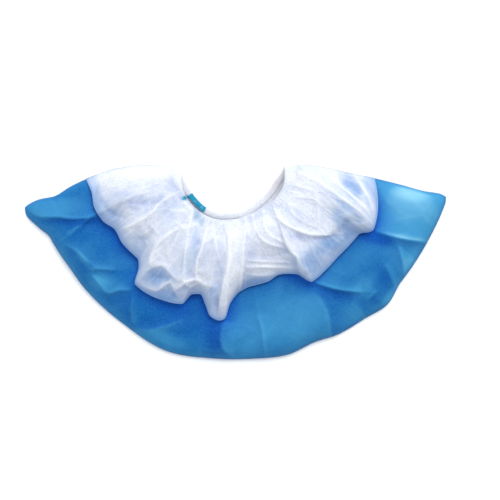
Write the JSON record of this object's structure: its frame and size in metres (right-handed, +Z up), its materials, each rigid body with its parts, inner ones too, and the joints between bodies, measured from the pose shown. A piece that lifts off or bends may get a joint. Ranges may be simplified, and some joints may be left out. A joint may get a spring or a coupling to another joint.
{
  "type": "disposable shoe cover",
  "caption": "Disposable overshoe: a blue film-coated lower pocket under a puffed white nonwoven collar with a gathered elastic opening, lying relaxed on its side.",
  "frame": {"origin": "centre of the flat underside's bounding box, on the surface that the cover lies on", "axes": "+X from the left tip to the right tip, +Y from the sole fold to the opening, +Z up from the surface"},
  "size_m": [0.3315, 0.1538, 0.0381],
  "materials": {
    "coated_blue_nonwoven": "thin film-coated nonwoven with a soft satin sheen",
    "white_nonwoven": "matt spunbond nonwoven, slightly see-through",
    "gathered_hem": "matt gathered nonwoven over elastic",
    "teal_elastic": "matt elastic thread band"
  },
  "bodies": {
    "root": {"blue_lower": "coated_blue_nonwoven", "white_front": "white_nonwoven", "white_back": "white_nonwoven", "elastic_hem": "gathered_hem", "elastic_splice": "teal_elastic"}
  },
  "joints": []
}
